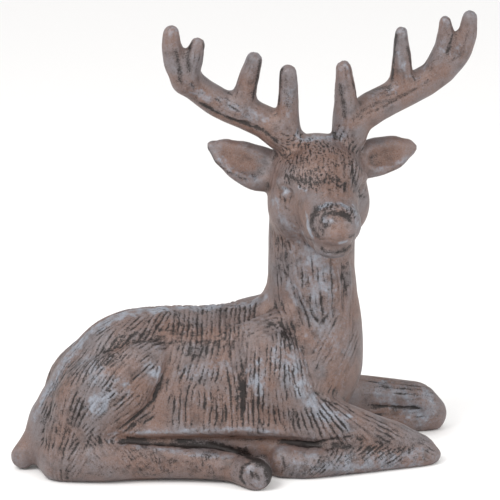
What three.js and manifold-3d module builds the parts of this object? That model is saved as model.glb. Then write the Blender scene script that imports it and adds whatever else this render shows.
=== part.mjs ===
// A recumbent stag cast in iron in one piece: the body lies along +X with its legs folded under it, and
// the head is turned to look out over the near flank, towards -Y. +Z is up and the underside is ground
// flat at z = 0. The figure is modelled as clay is: rounded masses are blended together or cut away in one
// distance field, the surface of that field is meshed, and the mesh is thinned to the facets it needs.
import * as THREE from "three";
import { mergeVertices } from "three/addons/utils/BufferGeometryUtils.js";
import { edgeTable, triTable } from "three/addons/objects/MarchingCubes.js";
import Module from "manifold-3d";

// Driving sizes, in millimetres.
const STAG_HEIGHT = 409; // ground to the highest antler tip
const BEAM_RADIUS = 14.2; // main stem of each antler, where it is thickest
const TINE_RADIUS = 9.9; // points of the antlers, near their roots
const HOOF_RADIUS = 14.6;
const CANNON_RADIUS = 14; // lower leg bones, folded along the ground
const TAIL_RADIUS = 12.5;
const EYE_RADIUS = 6;
const GROUND_FLAT = 1.2; // depth that is ground off the underside, so that it stands flat

// How finely the surface is taken, and how many facets are kept.
const CELLS_HIGH = 136; // grid cells from the ground to the highest tip
const GRID_STEP = STAG_HEIGHT / CELLS_HIGH;
const BLOCK = 4; // grid steps across a block that is sampled only near the surface
const FACETS = 9600;

// The stations of the anatomy were taken on a figure 409 mm high, and keep its proportions at any other.
const SHARE = STAG_HEIGHT / 409;
const NEAR = -1; // the flank that the head looks out over
const FAR = 1;

// Clay: every shape is { distance(x, y, z), centre, reach }, negative inside, in millimetres.

const sized = (numbers) => numbers.map((n) => n * SHARE);
const lengthOf = (x, y, z) => Math.sqrt(x * x + y * y + z * z);

// An ellipsoid with its centre and half-sizes, turned by three angles in degrees.
function lump(centre, halves, [tiltX, tiltY, tiltZ] = [0, 0, 0]) {
  const [cx, cy, cz] = sized(centre);
  const [a, b, c] = sized(halves);
  const turn = new THREE.Matrix4().makeRotationFromEuler(
    new THREE.Euler(...[tiltX, tiltY, tiltZ].map(THREE.MathUtils.degToRad), "ZYX"),
  );
  const [m0, m1, m2, , m4, m5, m6, , m8, m9, m10] = turn.elements;
  return {
    centre: [cx, cy, cz],
    reach: Math.max(a, b, c),
    distance(x, y, z) {
      const dx = x - cx;
      const dy = y - cy;
      const dz = z - cz;
      const p = (m0 * dx + m1 * dy + m2 * dz) / a;
      const q = (m4 * dx + m5 * dy + m6 * dz) / b;
      const r = (m8 * dx + m9 * dy + m10 * dz) / c;
      const near = lengthOf(p, q, r);
      const slope = lengthOf(p / a, q / b, r / c);
      return slope < 1e-9 ? -Math.min(a, b, c) : (near * (near - 1)) / slope;
    },
  };
}

// A limb: a smooth curve through stations of [x, y, z, radius], round all along or pressed flatter along
// one direction. Flatness is the share of its thickness that is left in that direction.
function limb(stations, { across = [0, 1, 0], flatness = 1, steps = 5 } = {}) {
  const points = stations.map(([x, y, z]) => new THREE.Vector3(...sized([x, y, z])));
  const curve = new THREE.CatmullRomCurve3(points, false, "centripetal");
  const radii = stations.map(([, , , radius]) => radius * SHARE);
  const count = (stations.length - 1) * steps;
  // Each ring of the limb is four numbers in a row: its middle and its radius.
  const rings = new Float64Array(4 * (count + 1));
  const box = new THREE.Box3();
  for (let i = 0; i <= count; i++) {
    const from = Math.min(Math.floor(i / steps), radii.length - 2);
    const share = i / steps - from;
    const eased = share * share * (3 - 2 * share);
    const point = curve.getPoint(i / count);
    const radius = radii[from] + (radii[from + 1] - radii[from]) * eased;
    rings.set([point.x, point.y, point.z, radius], 4 * i);
    box.expandByPoint(point);
  }
  const centre = box.getCenter(new THREE.Vector3()).toArray();
  let reach = 0;
  for (let i = 0; i < rings.length; i += 4) {
    const away = lengthOf(rings[i] - centre[0], rings[i + 1] - centre[1], rings[i + 2] - centre[2]);
    reach = Math.max(reach, away + rings[i + 3]);
  }
  const [nx, ny, nz] = new THREE.Vector3(...across).normalize().toArray();
  return {
    centre,
    reach,
    distance(x, y, z) {
      let least = Infinity;
      for (let i = 0; i < rings.length - 4; i += 4) {
        const ux = rings[i + 4] - rings[i];
        const uy = rings[i + 5] - rings[i + 1];
        const uz = rings[i + 6] - rings[i + 2];
        let dx = x - rings[i];
        let dy = y - rings[i + 1];
        let dz = z - rings[i + 2];
        const along = (dx * ux + dy * uy + dz * uz) / (ux * ux + uy * uy + uz * uz);
        const t = Math.min(1, Math.max(0, along));
        dx -= ux * t;
        dy -= uy * t;
        dz -= uz * t;
        const radius = rings[i + 3] + (rings[i + 7] - rings[i + 3]) * t;
        const length = lengthOf(dx, dy, dz);
        if (flatness === 1) {
          least = Math.min(least, length - radius);
          continue;
        }
        const flat = dx * nx + dy * ny + dz * nz;
        const rest = Math.max(0, length * length - flat * flat);
        const seen = Math.sqrt(rest + (flat / flatness) ** 2);
        least = Math.min(least, seen < 1e-9 ? -radius * flatness : ((seen - radius) * length) / seen);
      }
      return least;
    },
  };
}

// Joins two distances with a fillet of the given width, or cuts the second out of the first.
function joined(a, b, width) {
  const overlap = Math.max(width - Math.abs(a - b), 0);
  return Math.min(a, b) - (overlap * overlap) / (4 * width);
}

function cut(a, b, width) {
  return -joined(-a, b, width);
}

const add = (shape, fillet) => ({ ...shape, fillet: fillet * SHARE, combine: joined, removes: false });
const remove = (shape, fillet) => ({ ...shape, fillet: fillet * SHARE, combine: cut, removes: true });

// A thickness named at the top, in the measure that the stations are written in.
const real = (millimetres) => millimetres / SHARE;

// Body: barrel, rump and chest, with the belly cut under along each flank so that the coat ends in a skirt.

function trunk() {
  return [
    add(
      limb(
        [
          [-166.5, 0, 38, 37],
          [-149, 1, 56.5, 41.8],
          [-127, 2, 73, 50.8],
          [-101.5, 2, 82.3, 61],
          [-60, 2, 80, 64.3],
          [-15, 3, 78.5, 63],
          [34, 4, 84, 59],
        ],
        { flatness: 0.86 },
      ),
      1,
    ),
    add(limb([[-150, 0, 26, 28], [-90, 0, 26, 36], [0, 0, 26, 40], [52, 2, 26, 38]]), 12),
    add(lump([56, 4, 88], [42.8, 44, 56]), 18),
    add(limb([[-30, 4, 130, 11], [-4, 4, 131, 12], [20, 3, 136, 15]]), 12),
    add(limb([
      [-178, -34, 16, 18.5],
      [-180, -12, 18, 20.5],
      [-180, 12, 18, 20.5],
      [-178, 34, 16, 18.5],
    ]), 10),
  ];
}

function flank(side) {
  const y = (n) => n * side;
  return [
    add(limb([[-116, y(24), 62, 30], [-50, y(26), 62, 34], [24, y(26), 60, 34]]), 12),
    add(limb([[-120, y(34), 28, 18], [-50, y(36), 28, 20], [30, y(37), 26, 20]]), 8),
    add(limb([
      [-134, y(50), 47, 5],
      [-96, y(54), 48, 7],
      [-50, y(56), 48, 7],
      [0, y(57), 45, 7],
      [52, y(58), 38, 6],
    ]), 7),
  ];
}

function haunch(side) {
  const y = (n) => n * side;
  return [
    add(
      limb(
        [
          [-97, y(43), 112, 15],
          [-110, y(44), 98, 26],
          [-128, y(43), 82, 34],
          [-148, y(38), 60, 34.5],
          [-163, y(38), 42, 29],
        ],
        { across: [0, 1, 0.15 * side], flatness: 0.62 },
      ),
      5,
    ),
    add(lump([-138, y(30), 70], [42, 26, 38]), 10),
  ];
}

function shoulder(side) {
  const y = (n) => n * side;
  return [
    add(lump([12, y(36), 84], [40, 24, 50], [0, -6, 0]), 8),
    add(limb([[-22, y(38), 120, 7], [-16, y(43), 84, 9], [-14, y(46), 56, 8]], { steps: 4 }), 8),
    add(limb([[-34, y(32), 122, 5], [-14, y(34), 130, 7], [12, y(30), 136, 8], [34, y(24), 142, 7]]), 8),
  ];
}

function bellyUndercut(side) {
  const y = (n) => n * side;
  return [
    remove(
      limb([
        [-132, y(60), 35, 3],
        [-100, y(63), 30, 6],
        [-50, y(67), 24, 9.5],
        [-14, y(72), 18, 11.5],
        [4, y(80), 6, 12],
      ]),
      3,
    ),
    remove(limb([[16, y(66), 36, 3], [60, y(72), 32, 6], [110, y(74), 27, 5]]), 3),
  ];
}

// The folds of the coat that show from a step away: before the thigh, and behind and before the shoulder.
function folds(side) {
  const y = (n) => n * side;
  const thigh = [
    [-80, y(47), 112, 1.5],
    [-82, y(51), 101, 2.5],
    [-88, y(54), 88, 3],
    [-96, y(57), 76, 3],
    [-108, y(59), 64, 2.5],
    [-124, y(60), 52, 1.5],
  ];
  const behindShoulder = [
    [-14, y(46), 119, 1.5],
    [-16, y(54), 98, 2.5],
    [-16, y(59), 77, 2.5],
    [-15, y(61), 57, 1.5],
  ];
  const beforeShoulder = [
    [36, y(40), 122, 1.5],
    [41, y(50), 108, 2.5],
    [45, y(56), 92, 3],
    [51, y(59), 77, 3],
    [60, y(57), 67, 2.5],
    [74, y(53), 62, 1.5],
  ];
  return [thigh, behindShoulder, beforeShoulder].map((fold) => remove(limb(fold), 3));
}

// Legs: each hind leg lies folded with its hoof turned out, and each foreleg is folded back from the knee.

function hindLeg(side) {
  const y = (n) => n * side;
  const cannon = real(CANNON_RADIUS);
  const hoof = real(HOOF_RADIUS);
  return [
    add(
      limb([
        [-171, y(37), 22, cannon + 9.5],
        [-142, y(46), 20.8, cannon + 7],
        [-104, y(52), 20.6, cannon + 3.5],
        [-62, y(60), 17.8, cannon + 0.8],
        [-27, y(70), 14.8, cannon - 1.2],
      ]),
      5,
    ),
    add(limb([
      [-26, y(72), 13.5, hoof * 0.8],
      [-16, y(82), hoof - 0.5, hoof * 0.94],
      [-9, y(91), hoof, hoof],
    ]), 2),
    add(limb([[-120, y(46), 7, 9], [-60, y(52), 6, 9], [-22, y(58), 6, 9], [24, y(50), 7, 10]]), 3),
    remove(lump([-4, y(111), hoof + 1], [hoof * 1.5, hoof * 0.55, hoof * 1.5], [0, 0, 24 * side]), 2),
  ];
}

function nearForeleg() {
  const cannon = real(CANNON_RADIUS);
  return [
    add(limb([[10, -40, 22, 18], [60, -46, 20, 14], [120, -47, 14, 10]]), 4),
    add(
      limb([
        [16, -34, 84, 32],
        [50, -41, 50, 25],
        [80, -47, 37, 22.5],
        [111, -50, 29.5, 18],
        [148, -47, 16.5, 12],
        [161, -46, 8.5, 7.3],
      ]),
      9,
    ),
    add(
      limb([
        [161, -47, 8, 7.3],
        [152, -50, 9.8, cannon - 2.5],
        [128, -54, 11.4, cannon - 1.2],
        [80, -62, 13, cannon],
        [40, -66, 13, cannon + 0.5],
        [21, -61, 14.5, cannon + 1.5],
      ]),
      2,
    ),
  ];
}

function farForeleg() {
  const cannon = real(CANNON_RADIUS);
  return [
    add(limb([[20, 36, 24, 20], [70, 40, 24, 17], [130, 46, 22, 12]]), 4),
    add(
      limb([
        [40, 32, 66, 30],
        [84, 44, 44, 21],
        [110, 48, 40, cannon + 2.5],
        [130, 50, 37, cannon + 2],
        [152, 50, 33.5, cannon + 1.2],
        [168, 49, 30, cannon + 1.5],
        [179.5, 47, 17.5, cannon + 1.5],
      ]),
      8,
    ),
    add(limb([
      [180.5, 47, 13, cannon],
      [150, 43, 12, cannon - 1.5],
      [100, 40, 12, cannon - 1.5],
      [50, 40, 14, cannon - 1],
    ]), 2),
  ];
}

function tail() {
  const thick = real(TAIL_RADIUS);
  return [add(limb([
    [-184, 0, 42, thick + 1],
    [-198, -2, 25, thick - 1],
    [-208.5, -5, 12.5, thick - 1.2],
  ]), 7)];
}

// Neck and head: the neck rises from the chest, and the head is turned square to the body.

function neck() {
  return [
    add(
      limb(
        [
          [58.5, 3, 90, 42],
          [60, 3, 122, 43.2],
          [57.5, 2, 152, 41],
          [56, 0, 182, 39.2],
          [56, -4, 218, 39.2],
          [57, -8, 252, 36],
        ],
        { flatness: 0.9 },
      ),
      16,
    ),
  ];
}

// The throat carries a bib of long locks that end in points over the chest.
function mane() {
  const locks = [
    [[36, -26, 190, 4], [42, -30, 165, 6], [48, -35, 137, 1.5]],
    [[47, -30, 198, 4], [52, -31.5, 168, 6.5], [57, -35, 133, 1.5]],
    [[59, -32, 200, 4], [63, -31.5, 168, 7], [67, -35, 138, 1.5]],
    [[71, -30, 200, 4], [73.5, -29, 170, 6.5], [76, -32, 141, 1.5]],
    [[82, -24, 196, 4], [83.5, -23, 168, 6], [84, -29, 138, 1.5]],
  ];
  return locks.map((lock) => add(limb(lock), 1.5));
}

const SKULL = [58, -10, 264];
const HEAD_TURN = 2;

// A place on the head, from the middle of the skull: towards its left ear, forward to the muzzle, and up.
function onHead(right, forward, up) {
  const cos = Math.cos(THREE.MathUtils.degToRad(HEAD_TURN));
  const sin = Math.sin(THREE.MathUtils.degToRad(HEAD_TURN));
  return [SKULL[0] + right * cos + forward * sin, SKULL[1] + right * sin - forward * cos, SKULL[2] + up];
}

function skull() {
  return [
    add(lump(onHead(0, 2, 0), [43, 38, 39]), 8),
    add(lump(onHead(0, 28, 6), [35, 24, 24], [30, 0, 0]), 10),
    add(limb([[...onHead(0, 24, -6), 33], [...onHead(0, 50, -16), 27], [...onHead(0, 70, -25), 23]]), 8),
    add(limb([[...onHead(0, 6, -32), 27], [...onHead(0, 44, -39), 20], [...onHead(0, 70, -43), 13.5]]), 8),
    add(lump(onHead(0, 74, -25), [24, 20, 22]), 4),
  ];
}

function cheek(side) {
  const eye = real(EYE_RADIUS);
  return [
    add(lump(onHead(side * 23.5, 12, -22), [22.5, 27, 30]), 8),
    remove(lump(onHead(side * 39, 60, -18), [9, 24, 16], [0, 0, -side * 14]), 8),
    remove(lump(onHead(side * 37, 38, -7), [8, 9, 6]), 4),
    add(lump(onHead(side * 32, 31, -7), [eye, eye, eye * 0.75]), 1.5),
    add(limb([
      [...onHead(side * 21, 42, 0), 2],
      [...onHead(side * 29, 37, 3.5), 3],
      [...onHead(side * 38, 25, 3), 4],
    ]), 4),
  ];
}

function nose() {
  const arch = [
    [-18.5, 79, -31, 2.2],
    [-18, 82, -23, 3.2],
    [-12.5, 85, -14.5, 3.8],
    [0, 87, -9.5, 4],
    [12.5, 86, -13, 3.8],
    [18, 82, -21, 3],
    [18, 79, -27, 2],
  ];
  const crease = [
    [-15, 90, -38, 1.4],
    [-14, 94, -28, 1.8],
    [-9, 96, -18.5, 2],
    [2, 97, -15, 2],
    [13, 95, -18.5, 2],
    [17, 92, -28, 1.8],
    [17, 89, -38, 1.4],
  ];
  const lips = [
    [-30, 60, -38, 1.2],
    [-17, 84, -42, 1.5],
    [0, 94, -43, 1.7],
    [17, 84, -42, 1.5],
    [30, 60, -38, 1.2],
  ];
  const along = ([right, forward, up, radius]) => [...onHead(right, forward, up), radius];
  return [
    add(limb(arch.map(along)), 3),
    add(lump(onHead(1, 84, -28), [17, 16, 14.5]), 2),
    remove(limb(crease.map(along)), 1.5),
    remove(lump(onHead(-6, 99, -23), [4, 4, 2.2], [0, 20, 0]), 1.5),
    remove(lump(onHead(9, 99, -23), [4, 4, 2.2], [0, -20, 0]), 1.5),
    add(lump(onHead(0, 73, -47), [17, 15, 9]), 3),
    remove(limb(lips.map(along)), 1.5),
  ];
}

function ear(stations, hollow) {
  return [
    add(limb(stations, { across: [0.1, -0.9, 0.25], flatness: 0.5 }), 4),
    remove(limb(hollow, { across: [0.1, -0.9, 0.25], flatness: 0.6 }), 2),
  ];
}

function ears() {
  return [
    ...ear(
      [
        [20, -7, 269, 18.5],
        [6, -6, 272, 20.5],
        [-5, -5, 277, 19],
        [-20, -4, 285, 14],
        [-31, -3, 291, 7.5],
        [-41.5, -2, 296.2, 1.8],
      ],
      [[2, -17, 275, 12], [-9, -15, 281, 12], [-24, -11, 289, 6.5]],
    ),
    ...ear(
      [
        [102, 0, 274, 17],
        [115, 2, 276.5, 17.8],
        [128, 4, 279, 16.2],
        [141, 7, 282, 10.5],
        [153, 9, 283, 3.5],
      ],
      [[116, -8, 277, 11], [129, -6, 279.5, 10], [142, -2, 282, 5]],
    ),
  ];
}

// Antlers: each has a beam that sweeps up and out, with three points along it and its own tip.

const asBeam = ([x, y, z, share]) => [x, y, z, real(BEAM_RADIUS) * share];
const asTine = ([x, y, z, share]) => [x, y, z, real(TINE_RADIUS) * share];

function antler(beam, tines) {
  return [
    add(limb(beam.map(asBeam)), 5),
    ...tines.map((tine) => add(limb(tine.map(asTine)), 7)),
  ];
}

function antlers() {
  return [
    ...antler(
      [
        [36, -14, 295, 1],
        [24, -11, 305.8, 1.1],
        [12, -6, 314, 1.04],
        [-6, -1, 321.5, 1],
        [-27, 2, 330.5, 0.94],
        [-48, 1, 346, 0.88],
        [-65, -6, 365, 0.76],
        [-71, -12, 383, 0.64],
        [-72, -16, 398, 0.52],
      ],
      [
        [[31, -14, 314, 1.1], [31, -20, 342, 0.92], [30, -24, 361, 0.8]],
        [[-8, -2, 327, 1.25], [-3, -8, 352, 0.95], [1.5, -12, 371, 0.8]],
        [[-59, -3, 352, 1.1], [-52.5, -11, 373, 0.94], [-49, -16, 387, 0.7]],
      ],
    ),
    ...antler(
      [
        [89, -10, 296, 0.95],
        [95, -7, 312, 1.02],
        [109, -2, 322, 1.06],
        [130, 4, 330.5, 1.02],
        [155, 6, 341, 0.97],
        [173, 4, 353, 0.92],
        [187, -1, 367.5, 0.77],
        [194, -6, 384, 0.64],
        [196, -10, 403, 0.5],
      ],
      [
        [[85, -11, 309, 1.3], [83, -16, 338, 1.02], [80.5, -20, 363, 0.74]],
        [[138, 4, 339, 1.15], [136.5, -2, 364, 0.92], [134.5, -7, 391, 0.6]],
        [[172, 2, 360, 1.1], [175.5, -4, 383, 0.84], [174, -8, 400, 0.58]],
      ],
    ),
  ];
}

function figure() {
  return [
    ...trunk(),
    ...flank(NEAR),
    ...flank(FAR),
    ...neck(),
    ...mane(),
    ...haunch(NEAR),
    ...haunch(FAR),
    ...shoulder(NEAR),
    ...shoulder(FAR),
    ...bellyUndercut(NEAR),
    ...bellyUndercut(FAR),
    ...folds(NEAR),
    ...folds(FAR),
    ...tail(),
    ...hindLeg(NEAR),
    ...hindLeg(FAR),
    ...nearForeleg(),
    ...farForeleg(),
    ...skull(),
    ...cheek(NEAR),
    ...cheek(FAR),
    ...nose(),
    ...ears(),
    ...antlers(),
  ];
}

// Surface: the field is sampled on a grid, and marching cubes take its zero surface as shared vertices.

function sample(shapes) {
  const box = new THREE.Box3();
  for (const { centre, reach, removes } of shapes) {
    if (removes) continue;
    box.expandByPoint(new THREE.Vector3(...centre).addScalar(reach));
    box.expandByPoint(new THREE.Vector3(...centre).addScalar(-reach));
  }
  const margin = 2 * GRID_STEP;
  const low = box.min.subScalar(margin);
  low.z = Math.max(low.z, -4 * GRID_STEP);
  const counts = box.max.addScalar(margin).sub(low).divideScalar(GRID_STEP).ceil().toArray();
  const [nx, ny, nz] = counts;
  const values = new Float32Array(nx * ny * nz);
  const floor = low.z + GRID_STEP / 2;
  const valueAt = (i, j, k) => {
    const x = low.x + i * GRID_STEP;
    const y = low.y + j * GRID_STEP;
    const z = low.z + k * GRID_STEP;
    let value = 1e3;
    for (const { distance, centre, reach, fillet, combine, removes } of shapes) {
      const clear = lengthOf(x - centre[0], y - centre[1], z - centre[2]) - reach;
      if (clear < (removes ? -value : value) + fillet) value = combine(value, distance(x, y, z), fillet);
    }
    return Math.max(value, floor - z) || 1e-6;
  };
  // A block of the grid that lies well inside or well outside takes one value all over.
  for (let k = 0; k < nz; k += BLOCK)
    for (let j = 0; j < ny; j += BLOCK)
      for (let i = 0; i < nx; i += BLOCK) {
        const middle = valueAt(i + BLOCK / 2, j + BLOCK / 2, k + BLOCK / 2);
        const whole = Math.abs(middle) > 1.6 * BLOCK * GRID_STEP;
        for (let c = Math.ceil(k); c < Math.min(k + BLOCK, nz); c++)
          for (let b = Math.ceil(j); b < Math.min(j + BLOCK, ny); b++)
            for (let a = Math.ceil(i); a < Math.min(i + BLOCK, nx); a++)
              values[(c * ny + b) * nx + a] = whole ? middle : valueAt(a, b, c);
      }
  return { low, counts, values };
}

function march({ low, counts, values }) {
  const [nx, ny, nz] = counts;
  const floor = [0, 1, 1 + nx, nx];
  const corners = [...floor, ...floor.map((n) => n + nx * ny)];
  // Each cube edge as the grid point it starts from, the one it ends at and the direction it runs in.
  const edges = [
    [0, 1, 0], [1, 2, 1], [3, 2, 0], [0, 3, 1],
    [4, 5, 0], [5, 6, 1], [7, 6, 0], [4, 7, 1],
    [0, 4, 2], [1, 5, 2], [2, 6, 2], [3, 7, 2],
  ];
  const positions = [];
  const faces = [];
  const made = new Int32Array(values.length * 3).fill(-1);
  const vertexOn = (cell, edge) => {
    const [from, to, axis] = edges[edge];
    const a = cell + corners[from];
    const b = cell + corners[to];
    const key = a * 3 + axis;
    if (made[key] < 0) {
      const share = values[a] / (values[a] - values[b]);
      const place = [a % nx, Math.floor(a / nx) % ny, Math.floor(a / (nx * ny))];
      place[axis] += Math.min(0.98, Math.max(0.02, share));
      made[key] = positions.length / 3;
      positions.push(...place.map((n, i) => low.getComponent(i) + n * GRID_STEP));
    }
    return made[key];
  };
  for (let k = 0; k < nz - 1; k++)
    for (let j = 0; j < ny - 1; j++)
      for (let i = 0; i < nx - 1; i++) {
        const cell = (k * ny + j) * nx + i;
        let inside = 0;
        for (let c = 0; c < 8; c++) if (values[cell + corners[c]] < 0) inside |= 1 << c;
        if (!edgeTable[inside]) continue;
        for (let t = inside * 16; triTable[t] >= 0; t += 3)
          faces.push(
            vertexOn(cell, triTable[t]),
            vertexOn(cell, triTable[t + 2]),
            vertexOn(cell, triTable[t + 1]),
          );
      }
  return { positions, faces };
}

// Thinning: edges are folded up one by one, those that change the surface least first, until few enough
// facets are left. A vertex's cost is a quadric, the sum of the squared distances to the planes it
// stands for.

class EdgeHeap {
  constructor() {
    this.items = [];
  }
  push(item) {
    const { items } = this;
    let i = items.length;
    items.push(item);
    while (i > 0) {
      const up = (i - 1) >> 1;
      if (items[up].cost <= item.cost) break;
      items[i] = items[up];
      i = up;
    }
    items[i] = item;
  }
  pop() {
    const { items } = this;
    const top = items[0];
    const last = items.pop();
    if (items.length === 0) return top;
    let i = 0;
    for (;;) {
      let child = 2 * i + 1;
      if (child >= items.length) break;
      if (child + 1 < items.length && items[child + 1].cost < items[child].cost) child++;
      if (items[child].cost >= last.cost) break;
      items[i] = items[child];
      i = child;
    }
    items[i] = last;
    return top;
  }
}

// The point that lies nearest to all of a quadric's planes, or null where they don't fix one.
function nearestToAll(q) {
  const [a, b, c, d, e, f, g, h, i] = q;
  const minorA = e * h - f * f;
  const minorB = c * f - b * h;
  const minorC = b * f - c * e;
  const whole = a * minorA + b * minorB + c * minorC;
  if (Math.abs(whole) < 1e-4 * Math.max(a, e, h) ** 3) return null;
  const x = -(d * minorA + g * minorB + i * minorC) / whole;
  const y = -(d * minorB + g * (a * h - c * c) + i * (b * c - a * f)) / whole;
  const z = -(d * minorC + g * (b * c - a * f) + i * (a * e - b * b)) / whole;
  return [x, y, z];
}

function costAt(q, [x, y, z]) {
  const [a, b, c, d, e, f, g, h, i, j] = q;
  return (
    a * x * x + e * y * y + h * z * z + j + 2 * (b * x * y + c * x * z + f * y * z + d * x + g * y + i * z)
  );
}

function thinned({ positions, faces }, wanted, weightAt) {
  const points = Array.from({ length: positions.length / 3 }, (_, i) => positions.slice(3 * i, 3 * i + 3));
  const triangles = Array.from({ length: faces.length / 3 }, (_, i) => faces.slice(3 * i, 3 * i + 3));
  const around = points.map(() => new Set());
  const quadrics = points.map(() => new Float64Array(10));
  const normalOf = (p, q, r) => {
    const [ux, uy, uz] = [q[0] - p[0], q[1] - p[1], q[2] - p[2]];
    const [vx, vy, vz] = [r[0] - p[0], r[1] - p[1], r[2] - p[2]];
    return [uy * vz - uz * vy, uz * vx - ux * vz, ux * vy - uy * vx];
  };
  triangles.forEach((triangle, t) => {
    const [p, q, r] = triangle.map((v) => points[v]);
    const normal = normalOf(p, q, r);
    const area = Math.hypot(...normal) || 1e-12;
    const [a, b, c] = normal.map((n) => n / area);
    const d = -(a * p[0] + b * p[1] + c * p[2]);
    const weight = area * weightAt(p);
    const plane = [a * a, a * b, a * c, a * d, b * b, b * c, b * d, c * c, c * d, d * d];
    for (const v of triangle) {
      around[v].add(t);
      plane.forEach((n, i) => (quadrics[v][i] += n * weight));
    }
  });
  const neighbours = (v) => {
    const found = new Set();
    for (const t of around[v]) for (const w of triangles[t]) if (w !== v) found.add(w);
    return found;
  };
  const version = new Int32Array(points.length);
  const heap = new EdgeHeap();
  const consider = (v, w) => {
    const sum = quadrics[v].map((n, i) => n + quadrics[w][i]);
    const [p, q] = [points[v], points[w]];
    const middle = p.map((n, i) => (n + q[i]) / 2);
    const length = Math.hypot(p[0] - q[0], p[1] - q[1], p[2] - q[2]);
    const best = nearestToAll(sum);
    const place =
      best && Math.hypot(...best.map((n, i) => n - middle[i])) < length ? best : middle;
    const cost = Math.max(0, costAt(sum, place)) + 1e-5 * length * length * length * length;
    heap.push({ v, w, place, cost, stamp: version[v] + version[w], sum });
  };
  const flips = (v, w, place) => {
    for (const t of around[v]) {
      const triangle = triangles[t];
      if (triangle.includes(w)) continue;
      const before = normalOf(...triangle.map((n) => points[n]));
      const after = normalOf(...triangle.map((n) => (n === v ? place : points[n])));
      const dot = before[0] * after[0] + before[1] * after[1] + before[2] * after[2];
      if (dot < 0.25 * Math.hypot(...before) * Math.hypot(...after)) return true;
    }
    return false;
  };
  points.forEach((_, v) => {
    for (const w of neighbours(v)) if (v < w) consider(v, w);
  });
  let left = triangles.length;
  while (left > wanted && heap.items.length) {
    const { v, w, place, stamp, sum } = heap.pop();
    if (!around[v] || !around[w] || stamp !== version[v] + version[w]) continue;
    const next = neighbours(w);
    const shared = [...neighbours(v)].filter((n) => next.has(n));
    if (!next.has(v) || shared.length !== 2 || flips(v, w, place) || flips(w, v, place)) continue;
    points[v] = place;
    quadrics[v] = sum;
    for (const t of around[w]) {
      if (triangles[t].includes(v)) {
        triangles[t].forEach((n) => n !== w && around[n].delete(t));
        triangles[t] = null;
        left--;
      } else {
        triangles[t] = triangles[t].map((n) => (n === w ? v : n));
        around[v].add(t);
      }
    }
    around[w] = null;
    const ring = neighbours(v);
    version[v] += 1 + version[w];
    for (const n of ring) consider(v, n);
  }
  return { points, triangles: triangles.filter(Boolean) };
}

const FACE_WEIGHT = 6;

// The head carries the finest modelling, so its facets are thinned least.
function weightAt([x, y, z]) {
  const [sx, sy, sz] = sized(onHead(0, 45, -8));
  const away = Math.hypot(x - sx, y - sy, z - sz) / (62 * SHARE);
  return 1 + (FACE_WEIGHT - 1) * Math.exp(-away * away);
}

function solidFrom(geometry, wasm) {
  const bare = new THREE.BufferGeometry().setAttribute("position", geometry.getAttribute("position"));
  if (geometry.index) bare.setIndex(geometry.index);
  const merged = mergeVertices(bare, 1e-4);
  return new wasm.Manifold(
    new wasm.Mesh({
      numProp: 3,
      vertProperties: merged.attributes.position.array,
      triVerts: new Uint32Array(merged.index.array),
    }),
  );
}

function geometryOf(solid) {
  const mesh = solid.getMesh();
  const geometry = new THREE.BufferGeometry();
  geometry.setAttribute("position", new THREE.BufferAttribute(mesh.vertProperties.slice(), 3));
  geometry.setIndex(new THREE.BufferAttribute(mesh.triVerts.slice(), 1));
  geometry.computeVertexNormals();
  return geometry;
}

// The blended figure, thinned, ground flat underneath, and set with the origin under its middle.
function casting(wasm) {
  const { points, triangles } = thinned(march(sample(figure())), FACETS, weightAt);
  const geometry = new THREE.BufferGeometry()
    .setAttribute("position", new THREE.BufferAttribute(new Float32Array(points.flat()), 3))
    .setIndex(triangles.flat());
  const size = 3 * STAG_HEIGHT;
  const ground = new THREE.BoxGeometry(size, size, size).translate(0, 0, GROUND_FLAT - size / 2);
  const standing = solidFrom(geometry, wasm).subtract(solidFrom(ground, wasm));
  const largest = standing.decompose().sort((a, b) => b.volume() - a.volume())[0];
  const figureAlone = geometryOf(largest);
  figureAlone.computeBoundingBox();
  const middle = figureAlone.boundingBox.getCenter(new THREE.Vector3());
  return figureAlone.translate(-middle.x, -middle.y, -GROUND_FLAT);
}

const wasm = await Module();
wasm.setup();

const iron = new THREE.MeshStandardMaterial({ color: 0x7e6a62, roughness: 0.62, metalness: 0.35 });
const stag = new THREE.Mesh(casting(wasm), iron);
stag.name = "stag";

const statue = new THREE.Group();
statue.add(stag);

export default statue;
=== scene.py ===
"""A resting stag cast in iron.

The part's own solid gets its carved coat, its face and its rubbed brown finish. Places on the casting are in
millimetres, chosen on the photograph line by line: x runs from tail to head, y from the near flank to the far
one, and z up.
"""

from __future__ import annotations

import logging
import math
from dataclasses import dataclass, field
from enum import Enum
from typing import Any

import bmesh
import bpy
import numpy as np
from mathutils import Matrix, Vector
from mathutils.bvhtree import BVHTree


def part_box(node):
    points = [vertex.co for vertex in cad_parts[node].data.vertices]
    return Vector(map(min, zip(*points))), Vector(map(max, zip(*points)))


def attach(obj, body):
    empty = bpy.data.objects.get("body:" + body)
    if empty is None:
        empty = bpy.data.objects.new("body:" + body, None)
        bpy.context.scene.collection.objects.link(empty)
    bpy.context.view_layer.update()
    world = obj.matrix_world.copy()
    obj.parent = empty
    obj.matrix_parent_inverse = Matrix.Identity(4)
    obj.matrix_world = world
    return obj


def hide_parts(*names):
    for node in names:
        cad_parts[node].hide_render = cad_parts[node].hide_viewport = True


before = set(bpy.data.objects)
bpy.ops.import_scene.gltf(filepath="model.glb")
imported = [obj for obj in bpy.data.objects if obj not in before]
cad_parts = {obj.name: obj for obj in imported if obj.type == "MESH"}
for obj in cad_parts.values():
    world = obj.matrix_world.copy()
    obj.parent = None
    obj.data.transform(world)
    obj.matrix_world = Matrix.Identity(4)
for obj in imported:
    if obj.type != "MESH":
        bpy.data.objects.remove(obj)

log = logging.getLogger("stag")

MM = 0.001
# The casting is alike on both sides of this plane, millimetres across the body.
MIDDLE = 3.7
# Points looked at beside each point of the skin.
BESIDE = 6
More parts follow.
